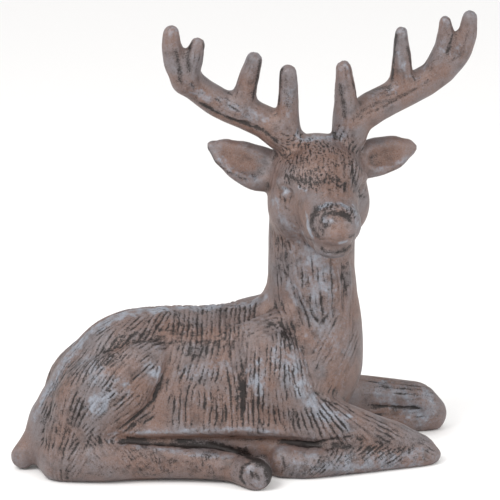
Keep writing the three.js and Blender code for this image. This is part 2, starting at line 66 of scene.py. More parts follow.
# How far the skin may move to meet the solid, metres, and how softly, in rounds.
OUTWARD = 3 * MM
INWARD = 2 * MM
MEET_ROUNDS = 16
# Rounds of smoothing that even out a smeared grain.
EVEN_ROUNDS = 14

Place = tuple[float, float, float]


class Sides(Enum):
    """Which sides of the body carry a stroke or a cut."""

    ONE = "one"
    BOTH = "both"


class Tone(Enum):
    """What has happened to the paint in a place. Some grey places are painted light, and some black places
    are painted shadow.
    """

    GREY = "grey"
    BROWN = "brown"
    DIRT = "dirt"
    BLACK = "black"
    SPECKLE = "speckle"


def linear(hex_colour: str) -> tuple[float, float, float, float]:
    """Turns an sRGB hex colour, such as "#86695a", into the linear colour and full alpha of a shader."""
    values = [int(hex_colour[i : i + 2], 16) / 255 for i in (1, 3, 5)]
    curve = [v / 12.92 if v <= 0.04045 else ((v + 0.055) / 1.055) ** 2.4 for v in values]
    return (curve[0], curve[1], curve[2], 1.0)


def add_node(tree: bpy.types.NodeTree, kind: str, inputs: dict[Any, Any], **settings: Any) -> bpy.types.Node:
    """Adds a shader node with its settings, and its values or links.

    Args:
        tree: The node tree.
        kind: The node's type, such as "ShaderNodeMix".
        inputs: For each input's name or number, a value or another node's output.
        settings: The node's own properties.

    Returns:
        The new node.
    """
    node = tree.nodes.new(kind)
    for name, value in settings.items():
        setattr(node, name, value)
    for key, value in inputs.items():
        if isinstance(value, bpy.types.NodeSocket):
            tree.links.new(value, node.inputs[key])
        else:
            node.inputs[key].default_value = value
    return node


def on_sides(points: tuple[Place, ...], sides: Sides) -> list[np.ndarray]:
    """Turns a line's points into metres, once for each side of the body that carries it.

    Args:
        points: The points, in millimetres.
        sides: The sides.

    Returns:
        One array of points, or two.
    """
    near = np.array(points, np.float32) * MM
    if sides is Sides.ONE:
        return [near]
    far = near.copy()
    far[:, 1] = 2 * MIDDLE * MM - far[:, 1]
    return [near, far]


def varied(cloud: np.ndarray, middle: float, spread: float, low: float, high: float) -> np.ndarray:
    """Turns soft random patches into a factor that varies about a middle, kept between two bounds."""
    return np.clip(middle + spread * cloud, low, high)


@dataclass(frozen=True)
class Stroke:
    """A clump of parallel cuts in the coat: where it runs, its depth from 0 to 1, and its cuts' spacing."""

    start: Place
    end: Place
    depth: float
    sides: Sides = Sides.BOTH
    pitch: float = 4.6


@dataclass(frozen=True)
class Cut:
    """A line carved in the casting, millimetres, or raised from it where its depth is less than nothing.

    Its shade is how dark it is, from 0 to 1. An even cut keeps its depth to its ends.
    """

    name: str
    points: tuple[Place, ...]
    width: float
    depth: float
    shade: float = 0.0
    sides: Sides = Sides.ONE
    even: bool = False


@dataclass(frozen=True)
class Stain:
    """A place or a line where the paint has its own tone, millimetres, with its strength from 0 to 1. Some
    stains are painted light and painted shadow.
    """

    points: tuple[Place, ...]
    width: float
    amount: float
    sides: Sides = Sides.ONE


ONE = Sides.ONE
BOTH = Sides.BOTH

COAT = (
    # The rump.
    Stroke((-94, -12, 138), (-136, -39, 111), 0.8),
    Stroke((-120, -20, 126), (-153, -45, 93), 0.7),
    Stroke((-149, -33, 104), (-168, -45, 70), 0.55),
    Stroke((-169, -40, 75), (-178, -46, 40), 0.4),
    Stroke((-157, -50, 78), (-166, -51, 42), 0.8),
    # The back.
    Stroke((-71, -4, 142), (-87, -28, 128), 0.9, pitch=4.4),
    Stroke((-54, -2, 142), (-60, -32, 126), 1, pitch=4.4),
    Stroke((-34, -1, 142), (-39, -31, 126), 1, pitch=4.4),
    Stroke((-15, 0, 142), (-22, -35, 127), 1, pitch=4.4),
    Stroke((2, 0, 143), (-5, -37, 132), 0.9, pitch=4.4),
    # The hip and the haunch.
    Stroke((-79, -32, 124), (-103, -47, 119), 0.8),
    Stroke((-106, -39, 123), (-131, -49, 108), 0.8),
    Stroke((-90, -52, 110), (-116, -59, 90), 0.9, pitch=3.8),
    Stroke((-106, -55, 103), (-140, -58, 73), 1, pitch=3.4),
    Stroke((-126, -56, 99), (-150, -55, 65), 1, pitch=3.6),
    Stroke((-144, -52, 92), (-158, -53, 56), 1, pitch=4),
    Stroke((-111, -60, 81), (-138, -57, 57), 0.6),
    Stroke((-130, -59, 69), (-159, -53, 38), 1, pitch=4),
    Stroke((-150, -54, 42), (-166, -56, 17), 0.9, pitch=3.6),
    Stroke((-81, -50, 98), (-94, -52, 71), 0.6),
    Stroke((-95, -52, 68), (-120, -55, 49), 0.8),
    # The flank.
    Stroke((-57, -37, 120), (-64, -46, 100), 0.8),
    Stroke((-52, -43, 108), (-63, -52, 81), 0.8),
    Stroke((-30, -36, 119), (-38, -48, 95), 0.9),
    Stroke((-62, -53, 79), (-64, -57, 52), 0.7, pitch=5.2),
    Stroke((-35, -54, 75), (-37, -59, 50), 1, pitch=5.2),
    Stroke((-12, -43, 115), (-9, -50, 89), 0.8),
    Stroke((-14, -54, 77), (-14, -59, 50), 0.9, pitch=5.2),
    # The shoulder.
    Stroke((1, -47, 114), (-1, -56, 78), 1, pitch=4),
    Stroke((24, -43, 126), (19, -61, 93), 1, pitch=4.2),
    Stroke((3, -57, 77), (3, -60, 47), 0.9),
    Stroke((29, -62, 86), (34, -60, 43), 0.9, pitch=4.2),
    Stroke((42, -43, 117), (44, -57, 89), 0.8),
    Stroke((6, -38, 131), (20, -35, 136), 0.3),
    # The foreleg.
    Stroke((44, -59, 82), (57, -63, 45), 1),
    Stroke((59, -54, 72), (81, -65, 41), 1),
    Stroke((78, -54, 60), (104, -64, 38), 0.9),
    Stroke((104, -59, 48), (131, -62, 31), 0.8),
    Stroke((135, -58, 35), (159, -54, 19), 0.5),
    # The folded lower foreleg.
    Stroke((72, -73, 18), (56, -73, 2), 0.5, pitch=3.4),
    Stroke((103, -67, 19), (82, -72, 7), 0.5, pitch=3.4),
    Stroke((135, -61, 20), (113, -68, 9), 0.45, pitch=3.4),
    Stroke((41, -71, 23), (34, -73, 6), 0.3),
    # The chest and the neck.
    Stroke((97, -25, 111), (77, -39, 81), 0.4),
    Stroke((85, -29, 130), (66, -40, 101), 0.4),
    Stroke((95, -24, 151), (91, -27, 124), 0.5),
    Stroke((74, -40, 87), (63, -49, 76), 0.3),
    Stroke((32, -17, 187), (34, -19, 160), 0.45),
    Stroke((43, -26, 166), (53, -30, 136), 0.5),
    Stroke((60, -33, 176), (64, -33, 142), 0.5),
    Stroke((73, -32, 182), (75, -33, 151), 0.5),
    Stroke((86, -28, 176), (90, -26, 144), 0.5),
    Stroke((48, -31, 201), (51, -30, 173), 0.45),
    Stroke((29, -14, 207), (28, -11, 178), 0.4),
    Stroke((36, -20, 153), (41, -31, 128), 0.5),
    Stroke((81, -89, 220), (95, -23, 174), 0.3),
    # The hind leg.
    Stroke((-142, -54, 40), (-125, -64, 22), 0.35, pitch=3),
    Stroke((-118, -56, 35), (-102, -64, 15), 0.3, pitch=3),
    Stroke((-83, -60, 33), (-79, -66, 12), 0.25, pitch=3),
    Stroke((-44, -68, 27), (-44, -72, 11), 0.2, pitch=3),
    Stroke((-169, -52, 33), (-172, -52, 9), 0.4),
    # The far foreleg.
    Stroke((128, 42, 49), (181, 44, 40), 0.4),
    Stroke((136, 37, 20), (184, 36, 23), 0.35),
    # The head and the muzzle.
    Stroke((48, -24, 296), (41, -48, 277), 0.25),
    Stroke((65, -19, 300), (57, -57, 279), 0.25),
    Stroke((86, -17, 301), (78, -57, 279), 0.5),
    Stroke((99, -19, 293), (91, -53, 273), 0.75),
    Stroke((64, -59, 279), (64, -83, 261), 0.25),
    Stroke((83, -56, 277), (77, -80, 262), 0.5),
    Stroke((26, -35, 249), (32, -37, 224), 0.3),
    Stroke((40, -53, 248), (48, -49, 219), 0.25),
    Stroke((30, -28, 274), (26, -30, 259), 0.3),
    Stroke((101, -41, 257), (90, -87, 240), 0.3),
    Stroke((65, -103, 242), (66, -106, 233), 0.05),
    Stroke((53, -88, 252), (51, -90, 233), 0.1),
    # The band under the skirt of the coat.
    Stroke((-91, -54, 42), (-37, -54, 38), 0.1),
    Stroke((-10, -52, 34), (44, -56, 31), 0.1),
    # The rim of the rump.
    Stroke((-107, -3, 139), (-138, -8, 121), 0.6, pitch=3.8),
    Stroke((-138, -6, 122), (-165, -12, 92), 0.6, pitch=3.8),
    Stroke((-168, -14, 84), (-182, -16, 48), 0.55, pitch=3.8),
    Stroke((-170, -33, 81), (-184, -22, 40), 0.5, pitch=3.8),
    # The spine.
    Stroke((-100, 2, 141), (-60, 4, 143), 0.15, ONE),
    # The left antler.
    Stroke((33, -18, 296), (4, -8, 318), 0.3, ONE),
    Stroke((4, -8, 318), (-30, 2, 336), 0.35, ONE),
    Stroke((-30, 2, 336), (-57, -2, 368), 0.35, ONE),
    Stroke((-57, -2, 368), (-64, -12, 400), 0.3, ONE),
    Stroke((38, -14, 324), (38, -20, 360), 0.35, ONE),
    Stroke((2, 0, 332), (9, -8, 370), 0.35, ONE),
    Stroke((-50, 0, 358), (-42, -12, 386), 0.35, ONE),
    # The right antler.
    Stroke((98, -6, 300), (117, 2, 325), 0.35, ONE),
    Stroke((117, 2, 325), (163, 10, 344), 0.35, ONE),
    Stroke((163, 10, 344), (196, 2, 370), 0.35, ONE),
    Stroke((196, 2, 370), (204, -6, 402), 0.3, ONE),
    Stroke((92, -8, 316), (89, -16, 360), 0.35, ONE),
    Stroke((146, 8, 344), (143, -3, 390), 0.35, ONE),
    Stroke((181, 5, 364), (182, -4, 398), 0.35, ONE),
    # The ears and the tail.
    Stroke((14, -6, 279), (-30, 1, 292), 0.06, ONE),
    Stroke((112, 2, 277), (158, 12, 286), 0.06, ONE),
    Stroke((-180, -2, 40), (-198, -2, 16), 0.05, ONE),
    # The back of the head and the neck.
    Stroke((66, 30, 300), (66, 34, 240), 0.5, ONE),
    Stroke((66, 38, 240), (64, 44, 150), 0.6, ONE),
)

CUTS = (
    # The body.
    Cut("haunch edge", ((-72, -42, 109), (-75, -45, 101), (-82, -49, 88), (-88, -50, 75), (-100, -53, 64),
        (-114, -54, 53), (-125, -55, 46)), 1.3, 1.6, 0.75, BOTH),
    Cut("haunch inner edge", ((-81, -48, 109), (-84, -52, 101), (-91, -54, 88), (-97, -57, 78),
        (-108, -58, 68), (-122, -58, 58)), 1.1, 0.8, 0.5, BOTH),
    Cut("shoulder line", ((-9, -44, 112), (-7, -48, 98), (-7, -53, 76), (-8, -56, 50)), 1.8, 1.2, 0.7, BOTH),
    Cut("chest line", ((47, -42, 112), (52, -46, 98), (58, -53, 77), (66, -52, 68), (77, -50, 63),
        (86, -44, 61)), 1.8, 1.6, 0.8, BOTH),
    Cut("under the flank", ((-110, -52, 38), (-91, -55, 36), (-72, -55, 34), (-54, -56, 32), (-34, -53, 29),
        (-15, -53, 24), (-4, -52, 19)), 3, 1.6, 0, BOTH, even=True),
    Cut("hoof sole", ((-9, -96, 22), (-2, -95, 25), (4, -97, 22), (7, -98, 15), (3, -99, 7), (-4, -97, 4),
        (-10, -96, 9), (-11, -96, 16), (-9, -96, 22)), 1.2, 0.8, 0.5, BOTH),
    Cut("hoof middle", ((-3, -97, 17), (0, -97, 12)), 1.8, 1.2, 0.6, BOTH, even=True),
    Cut("foreleg groove", ((30, -54, 31), (51, -56, 29), (65, -62, 32), (86, -66, 36),
        (106, -64, 30)), 1.5, 1.3, 0.8, BOTH),
    Cut("foreleg end", ((25, -66, 25), (26, -70, 21), (27, -72, 16), (28, -73, 8)), 1.4, 0.9, 0.7, BOTH),
    Cut("far foreleg groove", ((119, 35, 31), (129, 36, 30), (140, 37, 28), (152, 40, 26), (164, 40, 25),
        (175, 38, 24), (184, 36, 22)), 1.6, 1.2, 0.8),
    # The throat.
    Cut("mane edge", ((33, -18, 184), (42, -25, 167), (52, -31, 146), (57, -34, 130),
        (63, -38, 115)), 1.7, 1.3, 0.7),
    Cut("mane lock", ((48, -30, 190), (50, -32, 165), (56, -32, 144)), 1.5, 1.1, 0.6),
    Cut("mane middle", ((67, -33, 190), (70, -35, 165), (67, -33, 140)), 1.4, 0.9, 0.45),
    Cut("mane right", ((88, -26, 187), (84, -30, 153), (78, -30, 140)), 1.6, 1.1, 0.55),
    Cut("mane points", ((57, -31, 148), (61, -32, 139), (66, -32, 132), (71, -31, 138),
        (77, -31, 146)), 1.8, 1.3, 0.8),
    # The face.
    Cut("mouth", ((46, -37, 214), (50, -66, 220), (54, -93, 227), (61, -102, 229), (69, -105, 229),
        (76, -105, 232)), 1.1, 0.8, 0.5),
    Cut("muzzle front", ((60, -101, 238), (74, -105, 236)), 8, 1.2, 0, even=True),
    Cut("under the nose arch", ((65, -97, 251), (71, -98, 251), (76, -98, 250),
        (81, -97, 246)), 1.3, 0.9, 0.9),
    Cut("left nostril", ((55, -97, 240), (60, -100, 241), (63, -101, 243), (66, -101, 247)), 1.3, 0.8, 0.8),
    Cut("left eye upper lid", ((28, -36, 262), (31, -41, 265), (35, -46, 264)), 0.9, 0.7, 0.6),
    Cut("left eye lower lid", ((29, -37, 257), (33, -43, 256.5), (36, -46, 259)), 0.9, 0.4, 0.3),
    Cut("under the left eye", ((31, -42, 254), (34, -44, 253)), 4, -1.4, 0, even=True),
    Cut("right eye upper lid", ((86, -71, 261), (93, -57, 262), (101, -41, 254)), 1.1, 0.8, 0.5),
    Cut("right eye lower lid", ((86, -71, 261), (92, -62, 256), (100, -41, 252)), 1, 0.5, 0.4),
    Cut("left brow fold", ((33, -44, 270), (38, -50, 268), (45, -59, 266)), 1.4, 0.7, 0.35),
    Cut("inner forehead line", ((76, -38, 293), (75, -54, 283), (75, -64, 272),
        (72, -80, 263)), 1.7, 0.9, 0.9),
    Cut("middle forehead line", ((84, -30, 293), (83, -52, 283), (82, -62, 270),
        (78, -80, 261)), 1.7, 1.1, 1),
    Cut("outer forehead line", ((92, -25, 290), (91, -47, 281), (91, -55, 270),
        (91, -63, 260)), 1.6, 1.1, 1),
    Cut("bridge line", ((68, -58, 279), (66, -75, 267), (65, -84, 261)), 1.5, 0.6, 0.7),
    Cut("upper cheek line", ((28, -39, 245), (36, -46, 242), (42, -60, 240)), 1, 0.35, 0.3),
    Cut("middle cheek line", ((27, -37, 235), (35, -43, 232), (43, -45, 226)), 1, 0.35, 0.35),
    Cut("lower cheek line", ((29, -35, 225), (39, -39, 222), (48, -47, 219)), 1, 0.4, 0.4),
    # The ears.
    Cut("left ear rim", ((-27, -3, 288), (-19, -7, 278), (-13, -9, 272), (0, -11, 267),
        (11, -11, 265)), 1.6, -0.7, 0),
    Cut("right ear rim", ((118, -4, 266), (134, -2, 267), (150, 4, 272), (160, 9, 281)), 1.6, -0.7, 0),
    # The antlers.
    Cut("left beam line", ((-26, -4, 323), (-13, -7, 317), (5, -13, 314), (20, -19, 307),
        (31, -23, 300)), 1.5, 1.2, 0.9),
    Cut("right beam line", ((94, -21, 309), (108, -16, 319), (127, -11, 325), (146, -6, 333),
        (165, -4, 343)), 1.4, 1, 0.7),
)

# The paint is rubbed through to the metal. In a few places the grey is painted light: a painted highlight
# along the top rim, and brighter grey on the front of the neck.
RUBBED_AND_PAINTED_LIGHT = (
    Stain(((-145, -28, 106), (-135, -54, 97), (-116, -60, 87)), 13, 0.7, BOTH),
    Stain(((-122, -60, 88), (-140, -58, 74)), 13, 0.95, BOTH),
    Stain(((-92, -54, 104), (-87, -52, 97)), 11, 1, BOTH),
    Stain(((-58, -48, 98), (-20, -46, 100)), 12, 0.5, BOTH),
    Stain(((3, -54, 99), (6, -56, 84)), 11, 1, BOTH),
    Stain(((26, -50, 112), (30, -58, 90)), 12, 0.8, BOTH),
    Stain(((44, -50, 112), (46, -59, 82), (60, -60, 60), (84, -62, 46)), 13, 0.85, BOTH),
    Stain(((40, -24, 168), (50, -30, 150)), 10, 0.6),
    Stain(((60, -34, 200), (66, -34, 180), (68, -34, 146)), 17, 0.75),
    Stain(((41, -75, 18), (77, -74, 13), (120, -67, 11), (154, -59, 10)), 14, 0.75, BOTH),
    Stain(((141, 39, 42), (179, 37, 21), (179, 37, 40)), 18, 0.8),
    # Painted highlight: grey along the top rim of the rump, the back and the withers, standing in for the
    # sheen of light on the top edge.
    Stain(((-183, -4, 50), (-172, -4, 80), (-150, 0, 112), (-124, 0, 133), (-107, 2, 141), (-38, 4, 145),
        (20, 4, 150)), 12, 0.9),
    Stain(((-57, -10, 364), (-47, -8, 347), (-34, -5, 338), (-3, -10, 326), (20, -14, 316)), 6, 0.6),
    Stain(((117, -4, 330), (163, 4, 350), (196, -4, 376)), 8, 0.55),
    Stain(((37, -26, 345), (36, -24, 320)), 7, 0.6),
    Stain(((50, -20, 303), (88, -18, 303)), 9, 0.8),
    Stain(((31, -40, 260), (34, -44, 259)), 4.5, 0.8),
    Stain(((42, -55, 265), (47, -63, 263)), 2, 0.9),
    Stain(((42, -79, 245), (44, -84, 236), (46, -88, 228)), 6, 1),
    Stain(((84, -90, 255), (86, -94, 249), (87, -93, 244), (85, -97, 237)), 4, 1),
    Stain(((57, -97, 245), (62, -100, 245)), 4.6, 1),
    Stain(((54, -88, 254), (61, -89, 257), (72, -91, 258), (80, -95, 254)), 4.5, 0.9),
    Stain(((85, -84, 254), (87, -93, 247), (88, -92, 238)), 2.2, 1),
    Stain(((70, -102, 226), (76, -103, 227)), 3, 1),
    Stain(((25, -33, 249), (28, -39, 236), (37, -41, 225), (49, -50, 217)), 7, 0.6),
    Stain(((-127, -53, 41), (-74, -63, 31), (-22, -72, 26)), 5, 0.6, BOTH),
    Stain(((-127, -54, 46), (-87, -57, 47), (-47, -59, 47), (-10, -60, 47), (28, -60, 41)), 3, 0.7, BOTH),
    Stain(((-9, -95, 20), (-1, -98, 9)), 7.5, 0.75, BOTH),
    Stain(((-18, -8, 282), (-10, -9, 270), (10, -11, 264)), 5, 0.6),
    Stain(((124, -4, 266), (150, 2, 271)), 4, 0.5),
    # Painted light: a wide grey on the front of the neck, brightening it where the key lamp leaves it in
    # lower light.
    Stain(((54, -30, 205), (62, -36, 172), (72, -36, 128)), 30, 0.45),
    Stain(((84, -34, 120), (88, -36, 80)), 20, 0.3),
    Stain(((140, -8, 372), (145, -8, 350), (162, -4, 352)), 5, 0.7),
    Stain(((176, -8, 388), (178, -8, 372)), 5, 0.5),
)
# The brown is warm and whole.
WARM = (
    Stain(((-69, -26, 131), (-43, -31, 127), (-16, -34, 131)), 13, 0.9, BOTH),
    Stain(((-55, -56, 61), (-20, -57, 56), (16, -58, 56), (-40, -54, 74)), 14, 0.8, BOTH),
    Stain(((-119, -53, 43), (-87, -54, 41), (-46, -54, 40), (-6, -55, 37), (31, -54, 31)), 6, 1, BOTH),
    Stain(((-100, -57, 90), (-109, -54, 56)), 12, 0.8, BOTH),
    Stain(((48, -30, 290), (66, -50, 284), (72, -70, 268)), 24, 1),
    Stain(((38, -48, 250), (46, -62, 240)), 12, 0.6),
    Stain(((68, -101, 240), (68, -103, 232)), 9, 0.8),
    Stain(((-26, -2, 318), (5, -10, 307), (25, -16, 296)), 8, 1),
    Stain(((-12, -5, 281), (4, -6, 277)), 14, 0.9),
    Stain(((124, 0, 277), (140, 4, 279)), 14, 0.9),
    Stain(((79, -36, 113), (84, -36, 80)), 16, 0.6),
    Stain(((-156, -46, 24), (-93, -66, 22), (-40, -74, 18)), 12, 0.6, BOTH),
    Stain(((12, -54, 25), (15, -56, 22), (17, -65, 20), (20, -70, 14), (21, -70, 5)), 7, 1, BOTH),
    Stain(((-170, -34, 40), (-175, -20, 20)), 16, 0.6, BOTH),
    Stain(((-8, -50, 118), (-8, -46, 128)), 9, 0.8, BOTH),
    Stain(((-60, -6, 358), (-46, -8, 344), (-20, -8, 330)), 8, 0.7),
    Stain(((96, -18, 314), (130, -8, 332), (180, -6, 356)), 10, 0.8),
)
# Dirt lies on the paint in blots.
DIRTY = (
    Stain(((-88, -33, 125), (-58, -29, 130), (-48, -39, 116), (-20, -38, 124)), 12, 0.7, BOTH),
    Stain(((20, -32, 140), (32, -36, 130), (39, -43, 120)), 8, 0.9, BOTH),
    Stain(((-8, -50, 90), (-8, -54, 66)), 7, 0.8, BOTH),
    Stain(((-104, -24, 133), (-122, -38, 118), (-136, -40, 108)), 11, 0.55, BOTH),
    Stain(((-152, -52, 80), (-162, -52, 50)), 8, 0.6, BOTH),
    Stain(((35, -45, 271), (45, -57, 272), (59, -66, 272), (72, -66, 274)), 5, 0.8),
    Stain(((-20, -6, 276), (-8, -8, 268), (10, -9, 264)), 4, 0.6),
    Stain(((133, 46, 50), (165, 44, 46), (186, 42, 34)), 8, 0.5),
    Stain(((32, -20, 206), (34, -20, 186)), 10, 0.7),
    Stain(((94, -22, 196), (92, -24, 170)), 8, 0.6),
    Stain(((58, -91, 219), (63, -93, 216), (75, -93, 215)), 5, 1),
    Stain(((49, -88, 250), (50, -92, 240), (53, -94, 234)), 7, 1),
    Stain(((54, -90, 254), (66, -93, 256), (78, -95, 253)), 6.5, 0.45),
    Stain(((58, -99, 241), (64, -100, 246)), 4, 0.9),
    Stain(((-160, -48, 14), (-120, -64, 12), (-60, -72, 10), (-20, -84, 10)), 12, 0.45, BOTH),
    Stain(((30, -72, 12), (80, -74, 6), (150, -60, 6)), 10, 0.4, BOTH),
    Stain(((-100, -56, 22), (-60, -66, 18), (-24, -74, 14)), 22, 0.6, BOTH),
    Stain(((60, -72, 20), (110, -68, 22), (150, -62, 18)), 20, 0.5, BOTH),
    Stain(((-60, -10, 352), (-34, -6, 336), (0, -10, 322)), 9, 0.35),
    Stain(((-66, -10, 394), (-62, -10, 370)), 6, 0.3),
    Stain(((36, -26, 352), (38, -24, 330)), 5, 0.3),
    Stain(((8, -14, 362), (6, -12, 344)), 5, 0.35),
    Stain(((100, -16, 322), (140, -6, 342), (176, -6, 362)), 7, 0.3),
    Stain(((-156, -38, 112), (-172, -22, 76), (-170, -34, 40)), 26, 0.5, BOTH),
    Stain(((-128, -56, 98), (-112, -60, 60)), 22, 0.14, BOTH),
    Stain(((40, -40, 284), (52, -56, 276), (70, -60, 276), (84, -52, 280)), 12, 0.3),
)
# Old black paint fills the deep folds, the hoof's middle and rim, the nose and the antlers' grooves. The
# black band in the gap under the flank and the black crescent on the right of the hoof are painted shadow.
BLACK_PAINT_AND_SHADOW = (
    Stain(((-7, -97, 18), (-5, -98, 13)), 2.8, 0.95, BOTH),
    # Painted shadow: a black crescent on the right of the hoof, where it meets the foreleg.
    Stain(((1, -93, 27), (6, -95, 24), (9, -96, 19), (11, -96, 13), (10, -96, 7)), 5.5, 1, BOTH),
    # Painted shadow: a black band along the gap under the flank, above the hind leg.
    Stain(((-118, -53, 39), (-104, -53, 37), (-91, -55, 36), (-79, -55, 35), (-66, -55, 33), (-54, -56, 32),
        (-41, -55, 30), (-28, -54, 28), (-15, -53, 24)), 3.2, 1, BOTH),
    Stain(((-60, -56, 32), (-47, -55, 31), (-34, -53, 29), (-22, -53, 26), (-12, -53, 23),
        (-4, -52, 19)), 6, 1, BOTH),
    # Painted shadow: the dark gap carried on over the hind leg and round the right of the hoof.
    Stain(((-5, -58, 23), (-5, -70, 26), (-4, -80, 28), (-1, -90, 28), (4, -94, 25), (8, -95, 20),
        (10, -95, 14), (11, -94, 6)), 7.5, 1, BOTH),
    Stain(((-18, -60, 25), (-10, -72, 28), (-6, -86, 28)), 3.5, 0.9, BOTH),
    Stain(((-8, -92, 27), (-14, -91, 22), (-16, -92, 15), (-13, -94, 8)), 3.2, 1, BOTH),
    Stain(((50, -85, 254), (47, -86, 250), (47, -90, 244), (48, -92, 237), (51, -93, 231)), 5.5, 0.6),
    Stain(((52, -89, 246), (55, -90, 252), (62, -93, 252)), 7.5, 0.45),
    Stain(((50, -85, 254), (54, -87, 256), (60, -90, 257), (67, -92, 257), (74, -95, 256),
        (81, -95, 252)), 5, 0.35),
    Stain(((47, -89, 241), (49, -88, 247), (51, -87, 252)), 5.5, 0.8),
    Stain(((54, -96, 243), (57, -96, 250), (64, -97, 252), (74, -98, 249), (80, -99, 244)), 2.6, 0.95),
    Stain(((78, -104, 231), (82, -99, 232), (83, -96, 228)), 2.2, 0.8),
    Stain(((56, -90, 217), (63, -93, 215), (75, -93, 215), (81, -89, 219)), 2.6, 0.7),
    Stain(((33, -41, 272), (37, -47, 272), (42, -53, 271)), 3.5, 0.7),
    Stain(((89, -56, 272), (93, -54, 266)), 3, 0.6),
    Stain(((36, -46, 262), (37, -49, 259)), 1.6, 0.7),
    Stain(((-60, -17, 381), (-58, -15, 370), (-56, -12, 354)), 3, 0.75),
    Stain(((-47, -14, 392), (-50, -15, 380), (-49, -15, 364)), 3.5, 0.7),
    Stain(((-36, -17, 389), (-35, -14, 377), (-35, -8, 366)), 2.5, 0.8),
    Stain(((14, -14, 370), (13, -12, 360), (11, -10, 348), (8, -10, 336)), 3, 0.8),
    Stain(((32, -22, 363), (30, -21, 348), (29, -17, 330)), 2.8, 0.75),
    Stain(((-38, -4, 332), (-17, -7, 320), (6, -12, 312), (17, -17, 308), (28, -22, 299)), 2.4, 0.95),
    Stain(((85, -21, 348), (87, -21, 334), (89, -21, 318)), 2.8, 0.7),
    Stain(((96, -22, 361), (97, -20, 348), (100, -16, 336)), 2.2, 0.7),
    Stain(((112, 2, 336), (122, 2, 338), (134, -1, 341)), 3.5, 0.6),
    Stain(((96, -20, 317), (113, -13, 326), (132, -8, 330), (151, -6, 336), (169, -4, 346)), 2.2, 0.6),
    Stain(((138, -4, 388), (136, -3, 374), (135, -1, 360), (135, 1, 348)), 3.2, 0.9),
    Stain(((148, -7, 376), (152, -3, 360), (156, -2, 344)), 2, 0.8),
    Stain(((189, -8, 394), (187, -8, 381), (184, -7, 370)), 2.2, 0.8),
    Stain(((201, -12, 392), (199, -10, 380), (194, -8, 366)), 1.8, 0.4),
    Stain(((-32, -1, 292), (-25, -3, 280), (-14, -8, 270), (2, -12, 263)), 2, 0.7),
    Stain(((120, -2, 264), (136, 1, 263), (152, 4, 270)), 2, 0.5),
)
# Short worm-like cuts stand in for the combed coat.
SPECKLED = (
    Stain(((44, -32, 290), (66, -40, 290), (84, -38, 288)), 24, 1),
    Stain(((35, -45, 272), (58, -64, 272), (72, -66, 272)), 14, 1),
    Stain(((47, -87, 246), (58, -90, 256), (70, -94, 257), (82, -95, 251)), 7, 1),
    Stain(((-112, -30, 128), (-130, -42, 112), (-100, -44, 118)), 13, 0.8, BOTH),
)

STAINS = {
    Tone.GREY: RUBBED_AND_PAINTED_LIGHT,
    Tone.BROWN: WARM,
    Tone.DIRT: DIRTY,
    Tone.BLACK: BLACK_PAINT_AND_SHADOW,
    Tone.SPECKLE: SPECKLED,
}


